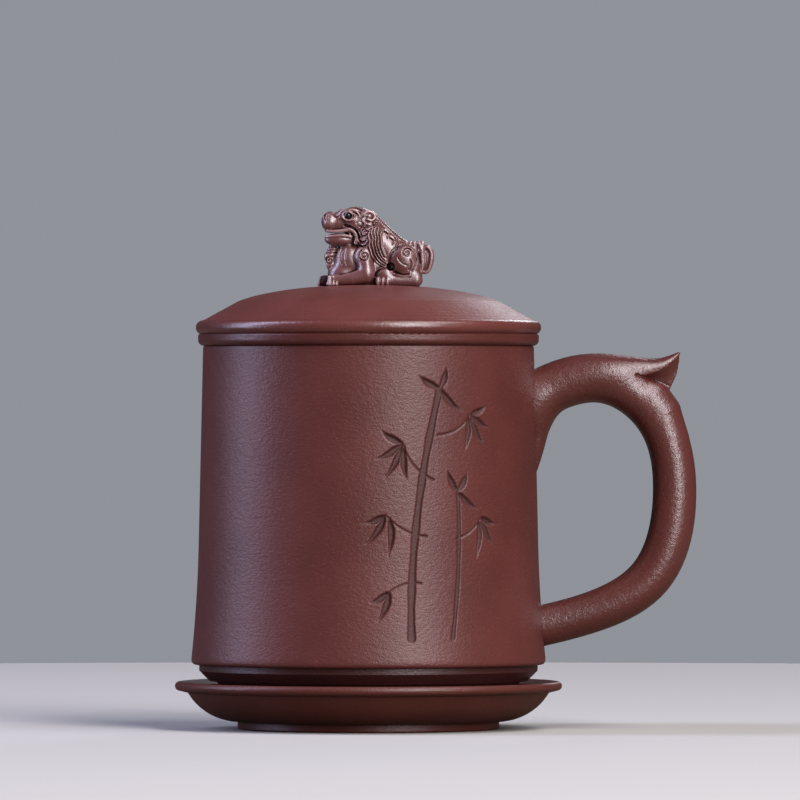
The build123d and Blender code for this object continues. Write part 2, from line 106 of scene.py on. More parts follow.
class Shade:
    """An output socket in a node tree. Arithmetic on it adds Math nodes, node() any other."""

    def __init__(self, tree, socket=None):
        self.tree = tree
        self.socket = socket

    def node(self, kind, settings, feeds, out=0):
        """A new node: its type, its settings, then values or links for its sockets."""
        made = self.tree.nodes.new(kind)
        for name, value in settings.items():
            setattr(made, name, value)
        for name, value in feeds.items():
            if isinstance(value, Shade):
                self.tree.links.new(value.socket, made.inputs[name])
            else:
                made.inputs[name].default_value = value
        return Shade(self.tree, made.outputs[out])

    def __add__(self, other):
        return self.node("ShaderNodeMath", {"operation": "ADD"}, {0: self, 1: other})

    def __sub__(self, other):
        return self.node("ShaderNodeMath", {"operation": "SUBTRACT"}, {0: self, 1: other})

    def __rsub__(self, other):
        return self.node("ShaderNodeMath", {"operation": "SUBTRACT"}, {0: other, 1: self})

    def __mul__(self, other):
        return self.node("ShaderNodeMath", {"operation": "MULTIPLY"}, {0: self, 1: other})

    __radd__ = __add__
    __rmul__ = __mul__


world = bpy.data.worlds.new("studio")
scene.world = world
world.use_nodes = True
air = Shade(world.node_tree)
seen = air.node("ShaderNodeLightPath", {}, {}, "Is Camera Ray")
room = air.node("ShaderNodeBackground", {}, {"Color": (0.8, 0.84, 0.9, 1), "Strength": 0.05})
backdrop = air.node("ShaderNodeBackground", {}, {"Color": (0.278, 0.29, 0.322, 1)})
either = air.node("ShaderNodeMixShader", {}, {0: seen, 1: room, 2: backdrop})
world.node_tree.links.new(either.socket, world.node_tree.nodes["World Output"].inputs["Surface"])

# ---------------------------------------------------------------- saucer
# A thrown saucer with its foot ring, in the same unglazed purple stoneware as the rest.
# The clay is dense, with sand in it; it is scraped and burnished before the fire.
SAND = (0.33, 0.16, 0.14, 1)
IRON_SPECK = (0.03, 0.012, 0.012, 1)
# the ground of a knife cut: the unburnished clay's own darker colour, deepened by painted shade
CUT_GROUND_AND_SHADE = (0.035, 0.009, 0.008, 1)
# painted shade for the hollows of a modelled piece, and a pale colour for its ridges that is
# rubbed wear with a painted highlight on it
HOLLOW_SHADE = (0.028, 0.009, 0.01, 1)
RUBBED_RIDGE_AND_SHEEN = (0.4, 0.24, 0.23, 1)
FLECK_SHARE = 0.5  # how much of its own colour a fleck shows through the fired skin


def step(value, low, high):
    """0 below low, 1 above high, eased between."""
    feeds = {"Value": value, "From Min": low, "From Max": high}
    return value.node("ShaderNodeMapRange", {"interpolation_type": "SMOOTHSTEP"}, feeds)


def stretch(place, x, y, z):
    """A place with its axes scaled."""
    return place.node("ShaderNodeVectorMath", {"operation": "MULTIPLY"}, {0: place, 1: (x, y, z)})


def noise(place, scale, detail=2.0, roughness=0.5):
    """Cloudy noise from 0 to 1, with scale waves to the mm."""
    feeds = {"Vector": place, "Scale": scale, "Detail": detail, "Roughness": roughness}
    return place.node("ShaderNodeTexNoise", {}, feeds, "Fac")


def blend(share, one, other):
    """One colour where the share is 0, the other where it is 1."""
    feeds = {0: share, 6: one, 7: other}
    return share.node("ShaderNodeMix", {"data_type": "RGBA"}, feeds, 2)


def fired_clay(
    name, body, light, roughness, grain,
    scraping=1.0, turning=0.0, hollows=0.0, cuts=0.0, polish=0.5,
):
    """Unglazed clay, clouded from its body colour to a lighter one.

    Grain is the height of the sand in mm. Scraping and turning are how deep the level marks of a
    scraper and the rings of the wheel are, next to it. Hollows paints shade into the hollows of
    a modelled piece and pales its ridges, as rubbed wear with a painted highlight on it. Cuts
    darkens its knife cuts, partly as the unburnished clay's own colour and partly as painted
    shade, and polish is how strongly the burnished skin shines.
    """
    material = bpy.data.materials.new(name)
    material.use_nodes = True
    tree = material.node_tree
    skin = tree.nodes["Principled BSDF"]
    place = Shade(tree).node("ShaderNodeTexCoord", {}, {}, "Object")
    place = stretch(place, 1 / MM, 1 / MM, 1 / MM)

    # clouds from the fire, sand, and specks of iron
    tone = blend(step(noise(place, 0.045, 3), 0.3, 0.7), (*body, 1), (*light, 1))
    sand = noise(place, 2.6, 2, 0.6)
    tone = blend(step(sand, 0.66, 0.78) * FLECK_SHARE, tone, SAND)
    iron = step(1 - noise(place, 1.9, 2, 0.6), 0.64, 0.76)
    tone = blend(iron * FLECK_SHARE, tone, IRON_SPECK)

    # the skin's relief: its fine wrinkle, the level marks of the scraper, the wheel's rings
    wrinkle = noise(stretch(place, 1, 1, 1 + 1.1 * scraping), 0.85, 3, 0.6)
    scrape = noise(stretch(place, 0.12, 0.12, 2.2), 1.0, 2, 0.5)
    height = wrinkle + scrape * (0.3 * scraping) + sand * 0.5
    if turning:
        feeds = {0: stretch(place, 1, 1, 0)}
        reach = place.node("ShaderNodeVectorMath", {"operation": "LENGTH"}, feeds, "Value")
        rings = noise(reach.node("ShaderNodeCombineXYZ", {}, {"X": reach}), 1.4, 2, 0.6)
        height = height + rings * turning
    rough = roughness + (wrinkle - 0.5) * 0.16 + (sand - 0.5) * 0.2

    # painted shade in the hollows; pale ridges, as rubbed wear with a painted highlight on it;
    # knife cuts darker, as unburnished clay and as painted shade; all from the marks on the mesh
    if hollows:
        deep = place.node("ShaderNodeAttribute", {"attribute_name": "hollow"}, {}, "Fac")
        tone = blend(step(deep, 0.52, 0.74), tone, HOLLOW_SHADE)
        tone = blend((1 - step(deep, 0.27, 0.46)) * hollows, tone, RUBBED_RIDGE_AND_SHEEN)
    if cuts:
        cut = place.node("ShaderNodeAttribute", {"attribute_name": "cut"}, {}, "Fac")
        tone = blend(cut * cuts, tone, CUT_GROUND_AND_SHADE)
        rough = rough + cut * 0.2
    feeds = {"Strength": 1.0, "Distance": grain * MM, "Height": height}
    bump = place.node("ShaderNodeBump", {}, feeds)
    tree.links.new(tone.socket, skin.inputs["Base Color"])
    tree.links.new(rough.socket, skin.inputs["Roughness"])
    tree.links.new(bump.socket, skin.inputs["Normal"])
    skin.inputs["Specular IOR Level"].default_value = polish
    return material


def dress(finish, *names):
    """Gives nodes of the part their material."""
    for name in names:
        nodes[name].data.materials.clear()
        nodes[name].data.materials.append(finish)


saucer_clay = fired_clay(
    "saucer_clay", (0.088, 0.021, 0.015), (0.105, 0.026, 0.019),
    roughness=0.42, grain=0.12, turning=0.8,
)
dress(saucer_clay, "saucer_foot_ring", "saucer_dish")

# ---------------------------------------------------------------- mug foot and floor
# The mug stands on a turned foot ring; its floor is a disc of the same clay, luted into the
# wall. Both are left as the turning tool made them. Their colour is painted much darker than the
# wall's: painted shade under the mug, in the gap above the saucer and down on the mug's floor.
shaded_foot_clay = fired_clay(
    "shaded_foot_clay", (0.046, 0.012, 0.011), (0.056, 0.015, 0.013),
    roughness=0.42, grain=0.1, turning=0.8,
)
dress(shaded_foot_clay, "mug_foot_ring", "mug_base")

# ---------------------------------------------------------------- mug wall
# A jiggered clay wall, scraped smooth, that flares a little to its foot and holds the infuser
# in its mouth. A spray of bamboo is cut into its front with a knife while the clay is leather
# hard.
wall_clay = fired_clay(
    "wall_clay", (0.094, 0.023, 0.019), (0.116, 0.03, 0.025),
    roughness=0.42, grain=0.125, scraping=0.6, cuts=0.65,
)
WALL_FOOT, FLARE_TOP, WALL_TOP = 16.8, 48.0, 99.6  # heights in mm
FOOT_RADIUS, FLARE_RADIUS, MOUTH_RADIUS = 46.2, 44.15, 43.0
STEM_CUT, LEAF_CUT = 0.45, 0.7  # depths in mm
# a cut darkens with its depth: the unburnished clay's own colour, deepened by painted shade
CUT_SHADE_DEPTH = 0.3  # from this depth a cut is as dark as it gets
PANEL_START, PANEL_END = -0.6, 36.4  # the front that is meshed finely for the cuts, in mm
COARSE = radians(2.5)  # between the columns of the rest


def wall_radius(z):
    """The wall's outside, in mm: straight at the top, then curving out to the foot."""
    taper = (FLARE_RADIUS - MOUTH_RADIUS) / (WALL_TOP - FLARE_TOP)
    fall = np.maximum(FLARE_TOP - z, 0)
    depth = FLARE_TOP - WALL_FOOT
    flare = (FOOT_RADIUS - FLARE_RADIUS - taper * depth) * (fall / depth) ** 2
    return MOUTH_RADIUS + taper * (WALL_TOP - z) + flare


def arch(start, end, bow, count=9):
    """Points from a start to an end, bowed to the left by a share of their distance."""
    share = np.linspace(0, 1, count)
    rise = 4 * bow * share * (1 - share)
    run = np.subtract(end, start)
    across = start[0] + share * run[0] - rise * run[1]
    return np.stack([across, start[1] + share * run[1] + rise * run[0]], 1)


def cut_depth(across, up, path, widths, deepest, bank=1.3):
    """Depth of one knife cut, in mm. Its sides bank down from its edge; widths run along it."""
    depth = np.zeros_like(across)
    steps = np.linspace(0, 1, len(path))
    halves = np.interp(steps, np.linspace(0, 1, len(widths)), widths) / 2
    for start, end, first, last in zip(path, path[1:], halves, halves[1:]):
        run = end - start
        x, z = across - start[0], up - start[1]
        along = np.clip((x * run[0] + z * run[1]) / run.dot(run), 0, 1)
        gap = np.hypot(x - along * run[0], z - along * run[1])
        depth = np.maximum(depth, (first + along * (last - first) - gap) * bank)
    return np.minimum(depth, deepest)


def bamboo(across, up):
    """Depth of the whole spray at places on the unrolled wall."""
    depth = np.zeros_like(across)
    cuts = []

    # two stalks, cut joint by joint, each length leaning a little off the line
    for foot, tip, bow, stem, joints in (
        ((11.0, 24.0), (19.5, 88.5), 0.035, 1.9, (0, 0.2, 0.42, 0.62, 0.8, 1)),
        ((22.0, 24.0), (24.5, 62.0), -0.03, 1.2, (0, 0.3, 0.62, 1)),
    ):
        stalk = arch(foot, tip, bow, 41)
        for low, high in zip(joints, joints[1:]):
            piece = stalk[round(40 * low) : round(40 * high) + 1]
            lean = np.linspace(0.035, -0.035, len(piece))[:, None]
            piece = piece + (piece[-1] - piece[0]) * lean
            cuts.append((piece, (stem * 1.2, stem, stem * 0.95, stem * 1.2), STEM_CUT))
    twigs = (
        ((17.4, 65.0), (9.0, 74.5), 0.12),
        ((18.8, 76.5), (29.0, 82.0), -0.12),
        ((15.4, 50.5), (4.5, 56.0), 0.1),
        ((23.9, 50.0), (32.0, 55.5), -0.1),
        ((13.7, 38.5), (5.5, 36.5), -0.1),
    )
    leaves = (
        (9.0, 74.5, -150, 8.5), (9.0, 74.5, -118, 10.5), (9.6, 73.6, -85, 9.0),
        (9.0, 74.5, 150, 6.5),
        (29.0, 82.0, -30, 7.5), (29.0, 82.0, -62, 10.0), (28.0, 81.7, -98, 9.5),
        (29.0, 82.0, 20, 5.5),
        (19.5, 88.5, 70, 6.0), (19.5, 88.5, -42, 9.0), (19.5, 88.5, 150, 7.0),
        (4.5, 56.0, -160, 6.0), (4.5, 56.0, -125, 9.5), (5.5, 55.4, -92, 10.0),
        (32.0, 55.5, -20, 5.5), (32.0, 55.5, -60, 9.0), (31.0, 55.0, -96, 10.5),
        (24.5, 62.0, -35, 8.0), (24.5, 62.0, 60, 6.0), (24.5, 62.0, 118, 6.5),
        (5.5, 36.5, -150, 6.0), (5.5, 36.5, -112, 8.5),
    )
    for start, end, bow in twigs:
        cuts.append((arch(start, end, bow), (0.8, 0.6, 0.5), STEM_CUT))
    for x, z, bearing, length in leaves:
        tip = (x + length * cos(radians(bearing)), z + length * sin(radians(bearing)))
        bow = 0.07 if 90 < bearing % 360 < 270 else -0.07
        leaf_widths = (0.45, 1.5, 2.0, 1.9, 1.4, 0.7, 0.15)
        cuts.append((arch((x, z), tip, bow, 13), leaf_widths, LEAF_CUT))
    for path, widths, deepest in cuts:
        depth = np.maximum(depth, cut_depth(across, up, path, widths, deepest))
    return depth


def drawn_mesh(name, points, quads, finish, **marks):
    """A smooth-shaded object from points in mm and quads. Marks are values at its points."""
    mesh = bpy.data.meshes.new(name)
    mesh.from_pydata((points * MM).tolist(), [], quads.tolist())
    for mark, values in marks.items():
        layer = mesh.attributes.new(mark, "FLOAT", "POINT")
        layer.data.foreach_set("value", values.astype(np.float32).ravel())
    mesh.shade_smooth()
    mesh.materials.append(finish)
    made = bpy.data.objects.new(name, mesh)
    scene.collection.objects.link(made)
    return made


# columns and rows lie close together where the spray is cut
fine = 0.2
fine_up = 1.25 * fine
panel = np.arange(PANEL_START, PANEL_END, fine) / FLARE_RADIUS
rest = np.arange(panel[-1] + COARSE, panel[0] + 2 * pi - radians(1), COARSE)
bearings = np.concatenate([panel, rest])
rows = np.concatenate(
    [np.arange(18.4, 22, 0.9), np.arange(22.6, 95.4, fine_up), np.arange(96, 99, 0.8)]
)

# the section of the wall, from under its foot up the outside, over the lip and down inside
corner = np.linspace(0, 1, 6) * pi / 2
foot_turn = [45.0 + 1.02 * np.sin(corner), WALL_FOOT + 1.1 - 1.1 * np.cos(corner)]
lip_turn = [MOUTH_RADIUS - 0.5 + 0.5 * np.cos(corner), WALL_TOP - 0.5 + 0.5 * np.sin(corner)]
foot_under = [(40.5, WALL_FOOT), (43.0, WALL_FOOT)]
inside = [
    (41.0, WALL_TOP), (39.9, WALL_TOP), (39.65, 99.4), (39.6, 99.0), (40.3, 60.0),
    (41.2, WALL_FOOT + 0.4),
]
profile = np.concatenate(
    [
        foot_under,
        np.stack(foot_turn, 1),
        np.stack([wall_radius(rows), rows], 1),
        np.stack(lip_turn, 1),
        inside,
    ]
)
radius, height = profile[:, :1], profile[:, 1:]
level = height + 0 * bearings[None]
depth = bamboo(bearings[None] * FLARE_RADIUS, level)
first_row = len(foot_under) + len(corner)
place = np.arange(len(profile))
outside = (place >= first_row) & (place < first_row + len(rows))
depth = depth * outside[:, None] * (bearings < panel[-1] + 1e-6)[None]
turn = bearings[None] - pi / 2
ring = np.stack([(radius - depth) * np.cos(turn), (radius - depth) * np.sin(turn), level], -1)
lower, upper = place, np.roll(place, -1)
left = np.arange(len(bearings))
right = np.roll(left, -1)
corners = ((lower, left), (lower, right), (upper, right), (upper, left))
grid = [row[:, None] * len(bearings) + column[None] for row, column in corners]
# the cut mark carries the knife cuts' own darker clay and the painted shade in them, by depth
mug_wall = drawn_mesh(
    "mug_wall_carved",
    ring.reshape(-1, 3),
    np.stack(grid, -1).reshape(-1, 4),
    wall_clay,
    cut=np.minimum(depth / CUT_SHADE_DEPTH, 1),
)
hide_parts("mug_wall")
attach(mug_wall, "mug")

# ---------------------------------------------------------------- handle
# A pulled roll of clay, luted to the wall at both ends and drawn down the wall in a tail under
# the upper one. The thumb rest grows out of its crown, undercut with a knife so that an edge
# runs from its tip to the limb.
# its colour is a little darker than the wall's: painted shade from the mug beside it
shaded_handle_clay = fired_clay(
    "shaded_handle_clay", (0.088, 0.021, 0.017), (0.108, 0.027, 0.022),
    roughness=0.34, grain=0.14, scraping=0.0, polish=0.9,
)
ROOT_DEPTH = 0.35  # how far the clay goes into the wall, in mm
FAR = 9.0  # a distance that no blend reaches, in mm
NECK = -1.0  # where a shape that is turned about the upright turns, along x in mm
SWING = 1.8  # how much further a turned shape reaches, in mm
STROKE_END = 0.6  # over which a stroke runs out towards the middle, in mm


def smooth_line(knots, count):
    """Points on a smooth line through some others: a natural cubic spline."""
    knots = np.array(knots)
    gaps = np.linalg.norm(np.diff(knots[:, :3], axis=0), axis=1)
    ends = np.concatenate([[0], np.cumsum(gaps)])
    system, right = np.eye(len(knots)), np.zeros_like(knots)
    for k in range(1, len(knots) - 1):
        system[k, k - 1 : k + 2] = gaps[k - 1], 2 * (gaps[k - 1] + gaps[k]), gaps[k]
        slope_in = (knots[k] - knots[k - 1]) / gaps[k - 1]
        right[k] = 6 * ((knots[k + 1] - knots[k]) / gaps[k] - slope_in)
    bend = np.linalg.solve(system, right)
    where = np.linspace(0, ends[-1], count)
    k = np.clip(np.searchsorted(ends, where) - 1, 0, len(gaps) - 1)
    gap = gaps[k][:, None]
    past, ahead = (where - ends[k])[:, None], (ends[k + 1] - where)[:, None]
    return (
        (bend[k] * ahead**3 + bend[k + 1] * past**3) / (6 * gap)
        + (knots[k] / gap - bend[k] * gap / 6) * ahead
        + (knots[k + 1] / gap - bend[k + 1] * gap / 6) * past
    )


class Lump:
    """A block of clay as a grid of distances to its skin, in mm: below zero inside.

    Grain is the step of the grid, spare is the widest blend used on it, and turn is the angle by
    which the shapes that are being added are turned.
    """

    def __init__(self, low, high, grain, spare):
        self.low = np.array(low)
        self.grain = grain
        self.spare = spare
        self.turn = 0.0
        self.axes = [np.arange(a, b, grain, dtype=np.float32) for a, b in zip(low, high)]
        self.depth = np.full([len(axis) for axis in self.axes], FAR, np.float32)

    def window(self, low, high):
        """The part of the block between two corners: its slices and its places, turned."""
        more = SWING * bool(self.turn)
        ends = [(a - more, b + more) for a, b in zip(low, high)]
        cut = [slice(*np.searchsorted(axis, pair)) for axis, pair in zip(self.axes, ends)]
        x, y, z = [axis[part] for axis, part in zip(self.axes, cut)]
        x, y, z = x[:, None, None] - NECK, y[None, :, None], z[None, None, :]
        turned = x * cos(self.turn) + y * sin(self.turn) + NECK
        return tuple(cut), (turned, y * cos(self.turn) - x * sin(self.turn), z)

    def press(self, cut, shape, soft):
        """Adds a shape, blended over a width. A negative width scoops it out instead."""
        side = 1 if soft > 0 else -1
        old = side * self.depth[cut]
        reach = abs(soft)
        overlap = np.maximum(reach - np.abs(old - shape), 0) / reach
        self.depth[cut] = side * (np.minimum(old, shape) - overlap * overlap * reach / 4)

    def ball(self, at, radii, soft=0.8, lean=0.0):
        """An ellipsoid. Lean tips its nose up, in degrees."""
        reach = max(radii) + self.spare
        cut, (x, y, z) = self.window(*[[c + s * reach for c in at] for s in (-1, 1)])
        x, y, z = x - at[0], y - at[1], z - at[2]
        tip, rise = cos(radians(lean)), sin(radians(lean))
        x, z = x * tip + z * rise, z * tip - x * rise
        a, b, c = radii
        near = np.sqrt((x / a) ** 2 + (y / b) ** 2 + (z / c) ** 2)
        slope = np.sqrt((x / a**2) ** 2 + (y / b**2) ** 2 + (z / c**2) ** 2)
        self.press(cut, near * (near - 1) / np.maximum(slope, 1e-4), soft)

    def roll(self, points, thickness, soft=0.5, wide=1.0):
        """A roll of clay along some points, wide times as wide as high.

        Its radius runs through the given thicknesses.
        """
        points = np.array(points)
        steps = np.linspace(0, 1, len(points))
        radii = np.interp(steps, np.linspace(0, 1, len(thickness)), thickness)
        reach = max(radii) * max(wide, 1) + self.spare
        whole = np.full_like(self.depth, FAR)
        for start, end, first, last in zip(points, points[1:], radii, radii[1:]):
            low, high = np.minimum(start, end) - reach, np.maximum(start, end) + reach
            cut, (x, y, z) = self.window(low, high)
            a, b, c = run = end - start
            x, y, z = x - start[0], (y - start[1]) / wide, z - start[2]
            along = np.clip((x * a + y * b + z * c) / run.dot(run), 0, 1)
            gap = np.sqrt((x - along * a) ** 2 + (y - along * b) ** 2 + (z - along * c) ** 2)
            whole[cut] = np.minimum(whole[cut], gap - first - along * (last - first))
        cut, _ = self.window(points.min(0) - reach, points.max(0) + reach)
        self.press(cut, whole[cut], soft)

    def draw(self, points, width, height, beyond=0.6, sides=(-1, 1)):
        """A stroke on the skin, laid on from the sides named, further out than beyond.

        It stands up by its height, or is drawn in where that is below zero.
        """
        across, up = self.axes[0][:, None], self.axes[2][None, :]
        points = smooth_line(points, 5 * len(points)) if len(points) > 2 else np.array(points)
        near = np.full((across.size, up.size), FAR, np.float32)
        for start, end in zip(points, points[1:]):
            a, b = end[0] - start[0], end[1] - start[1]
            x, z = across - start[0], up - start[1]
            along = np.clip((x * a + z * b) / (a**2 + b**2 + 1e-9), 0, 1)
            near = np.minimum(near, np.hypot(x - along * a, z - along * b))
        profile = np.clip(1 - (near / width) ** 2, 0, 1) ** 1.5 * height
        out = [np.clip((side * self.axes[1] - beyond) / STROKE_END, 0, 1) for side in sides]
        self.depth -= profile[:, None, :] * sum(out)[None, :, None]

    def hollowness(self, reach):
        """How deep in a hollow each place is: 0.5 on a flat skin, more in a groove."""
        full = np.clip(0.5 - self.depth / self.grain, 0, 1)
        half = max(1, round(reach / self.grain))
        for axis in (0, 1, 2) * 2:
            margin = [(half + 1, half) if a == axis else (0, 0) for a in range(3)]
            padded = np.cumsum(np.pad(full, margin), axis)
            ahead = np.take(padded, range(2 * half + 1, padded.shape[axis]), axis)
            behind = np.take(padded, range(padded.shape[axis] - 2 * half - 1), axis)
            full = (ahead - behind) / (2 * half + 1)
        return full.astype(np.float32)

    def sample(self, field, points):
        """Values of a field at points between the places of the grid."""
        base = np.clip(np.floor(points).astype(int), 0, np.array(field.shape) - 2)
        share = points - base
        total = 0
        for corner in np.ndindex(2, 2, 2):
            weight = np.prod(np.where(corner, share, 1 - share), axis=1)
            total = total + weight * field[tuple((base + corner).T)]
        return total

    def skin(self):
        """Points and quads of the skin: a point in each cell it crosses, a quad over each edge.

        The block's own faces close whatever reaches them, and loose flecks are dropped.
        """
        inner = self.depth[1:-1, 1:-1, 1:-1].copy()
        self.depth = np.maximum(self.depth, 0.05)
        self.depth[1:-1, 1:-1, 1:-1] = inner
        shape = np.array(self.depth.shape)
        corners, crossings, turned = [], [], []
        for axis in range(3):
            step, up, over = np.roll(np.eye(3, dtype=int), axis, axis=1)
            start = self.depth[tuple(slice(0, n - s) for n, s in zip(shape, step))]
            end = self.depth[tuple(slice(s, n) for n, s in zip(shape, step))]
            crossed = (start < 0) != (end < 0)
            at = np.argwhere(crossed)
            share = start[crossed] / (start[crossed] - end[crossed])
            cells = np.stack([at, at - up, at - up - over, at - over], 1)
            corners.append(cells @ [shape[1] * shape[2], shape[2], 1])
            crossings.append(at + share[:, None] * step)
            turned.append(start[crossed] > 0)
        corners, crossings, turned = map(np.concatenate, (corners, crossings, turned))

        # each cell's point is the middle of its crossings
        _, quads = np.unique(corners, return_inverse=True)
        quads = quads.reshape(corners.shape)
        cell = quads.ravel()
        sums = [np.bincount(cell, np.repeat(crossings[:, axis], 4)) for axis in range(3)]
        points = np.stack(sums, 1) / np.bincount(cell)[:, None]
        quads[turned] = quads[turned][:, ::-1]

        # the points of one piece all take its lowest number, and the largest piece stays
        piece, joined = None, np.arange(len(points))
        while piece is None or (joined != piece).any():
            piece, joined = joined, joined.copy()
            np.minimum.at(joined, quads, piece[quads].min(1)[:, None])
            joined = joined[joined]
        whole = piece == np.bincount(piece).argmax()
        place = np.cumsum(whole) - 1
        return points[whole], place[quads[whole[quads[:, 0]]]]


limb = smooth_line(
    [
        (41.3, 0, 26.0, 5.35),
        (57.0, 0, 30.0, 5.35),
        (72.6, 0, 38.8, 5.65),
        (79.6, 0, 62.0, 5.65),
        (74.6, 0, 81.4, 5.65),
        (60.0, 0, 91.1, 6.30),
        (49.6, 0, 89.4, 6.40),
        (41.3, 0, 85.5, 6.40),
    ],
    60,
)
fine = 0.28
clay = Lump((41, -8.4, 19.76), (86.5, 8.4, 99.5), grain=fine, spare=4.5)
clay.roll(limb[:, :3], limb[:, 3], soft=0.2, wide=1.04)
shoulder = [(74.3, 0, 86.5), (77.1, 0, 82.8), (79.2, 0, 76.0)]
clay.roll(shoulder, (4.1, 4.0, 3.0), soft=2.0, wide=1.2)
bare = clay.depth.copy()
horn = smooth_line(
    [
        (54.0, 0, 90.6, 2.0),
        (60.2, 0, 92.4, 3.0),
        (66.0, 0, 93.4, 3.1),
        (70.6, 0, 93.8, 2.8),
        (75.6, 0, 94.2, 2.2),
        (79.0, 0, 96.0, 1.3),
        (80.7, 0, 97.4, 0.6),
    ],
    60,
)
clay.roll(horn[:, :3], horn[:, 3], soft=3.5, wide=1.6)

# the knife takes the horn down to the limb below its edge, and leaves a thin blade to the tip
START, TIP = 70.1, 81.0
cut, (x, y, z) = clay.window((START, -7.5, 86), (82, 7.5, 99.5))
edge = np.interp(x, (START, 71.9, 74.9, 77.8, 80.2, TIP), (91.6, 91.8, 92.9, 94.4, 96.1, 97.6))
foot = np.interp(
    x, (START, 74.9, 78.1, 78.6, 80.2, 80.7, TIP), (90.6, 89.2, 88.0, 88.8, 92.3, 94.6, 97.6)
)
thick = np.interp(x, (START, 74.9, 77.8, 80.2, TIP), (4.4, 3.8, 2.8, 1.3, 0.4))
share = np.clip((z - foot) / np.maximum(edge - foot, 0.1), 0, 1)
blade = np.abs(y) - thick * (0.2 + 0.8 * share**2)
blade = np.maximum(blade, np.maximum(foot - z, z - edge - 0.3))
blade = np.maximum(blade, x - TIP)
under = bare[cut] - np.clip((72.6 - x) / 2.5, 0, 1)
kept = np.minimum(np.minimum(edge - z, under), blade)
clay.depth[cut] = np.minimum(np.maximum(clay.depth[cut], kept), blade)

# the tail down the wall, the crease under the horn, and the cut that fits it all to the wall
tail = smooth_line(
    [
        (43.2, 0, 85.0, 4.4),
        (43.2, 0, 81.1, 4.4),
        (43.2, 0, 77.5, 3.6),
        (43.2, 0, 72.5, 2.3),
        (43.3, 0, 66.6, 0.4),
    ],
    40,
)
clay.roll(tail[:, :3], tail[:, 3], soft=4.5, wide=1.15)
clay.draw([(69.6, 92.0), (72.2, 91.1), (75.0, 90.3), (78.4, 89.1)], 0.4, -0.5, beyond=0.2)
x, y, z = clay.axes
off_axis = np.hypot(x[:, None, None], y[None, :, None])
inside_wall = wall_radius(z)[None, None] - ROOT_DEPTH - off_axis
clay.depth = np.maximum(clay.depth, inside_wall.astype(np.float32))
points, quads = clay.skin()
handle = drawn_mesh("handle", clay.low + points * clay.grain, quads, shaded_handle_clay)
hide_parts("handle_loop", "handle_thumb_spur")
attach(handle, "mug")

# ---------------------------------------------------------------- infuser
# A deep clay cup that hangs by its flange on the mug's mouth; its floor is drilled through in
# rings. It is thrown thin and wiped smooth, finer to the touch than the mug.
# its colour is darker than the mug's: painted shade for the flange under the lid's rim
shaded_infuser_clay = fired_clay(
    "shaded_infuser_clay", (0.082, 0.02, 0.016), (0.1, 0.026, 0.021),
    roughness=0.38, grain=0.1, turning=0.6,
)
dress(shaded_infuser_clay, "infuser_floor", "infuser_wall", "infuser_flange")

# ---------------------------------------------------------------- lid
# A domed lid with a burnished bead for its rim, and a collar under it that drops into the
# infuser. The dome is smoothed with a wet rib, so it takes the light softly.
LID_BODY, LID_LIGHT = (0.115, 0.029, 0.024), (0.14, 0.037, 0.031)
lid_clay = fired_clay(
    "lid_clay", LID_BODY, LID_LIGHT,
    roughness=0.46, grain=0.1, scraping=0.0, turning=0.9, polish=0.4,
)
rim_clay = fired_clay(
    "rim_clay", LID_BODY, LID_LIGHT,
    roughness=0.31, grain=0.08, scraping=0.0, polish=0.85,
)
dress(lid_clay, "lid_collar", "lid_dome")
dress(rim_clay, "lid_rim")

# ---------------------------------------------------------------- guardian beast
# The lid's knob: a crouching guardian beast, modelled by hand in the mug's clay and seated on
# the dome. Rolls and lumps are pressed together, then drawn into with a tool and burnished.
# painted shade darkens its hollows; its ridges are paled as rubbed wear with a painted highlight
knob_clay = fired_clay(
    "knob_clay", (0.105, 0.03, 0.028), (0.14, 0.046, 0.044),
    roughness=0.36, grain=0.1, scraping=0.0, hollows=0.8, polish=1.0,
)
knob_skin = knob_clay.node_tree.nodes["Principled BSDF"]
knob_skin.inputs["Coat Weight"].default_value = 0.8
knob_skin.inputs["Coat Roughness"].default_value = 0.3

dome_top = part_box("lid_dome")[1].z / MM
fine = 0.15
clay = Lump((-14.4, -7.8, -0.9), (17.7, 7.8, 20.9), grain=fine, spare=1.2)

# the trunk: belly, chest, a back that slopes from the mane to the rump
clay.ball((0.8, 0, 4.6), (9.0, 4.4, 6.2))
clay.ball((-4.9, 0, 6.3), (4.1, 4.3, 5.0))
clay.ball((9.3, 0, 5.4), (4.5, 5.0, 6.1))
clay.ball((-6.6, 0, 2.9), (4.0, 4.2, 3.4))
clay.ball((11.6, 0, 2.0), (2.4, 4.9, 3.2))
clay.roll([(-2.1, 0, 15.9), (5.4, 0, 8.0)], (4.1, 4.8), soft=1.2)
clay.roll([(1.0, 0, 18.6), (4.7, 0, 14.9), (9.0, 0, 11.2)], (0.6, 0.5, 0.6), soft=0.8)
clay.ball((0.4, 0, 12.2), (3.6, 5.6, 7.0), lean=8)

# hind legs: haunch, knee, foot and three toes
for side in (-1, 1):
    clay.ball((9.1, side * 3.8, 6.4), (3.7, 2.4, 3.7), soft=0.4)
    clay.ball((10.6, side * 3.6, 4.2), (3.0, 1.9, 3.2), soft=0.8)
    clay.ball((4.3, side * 4.5, 2.4), (2.4, 1.6, 2.5), soft=0.5)
    clay.roll([(12.2, side * 4.0, 1.3), (5.2, side * 4.9, 1.2)], (1.9, 1.4), soft=0.9)
    for toe in (2.5, 3.7, 4.9):
        clay.ball((toe, side * 5.6, 0.9), (0.72, 1.0, 1.2), soft=0.15)

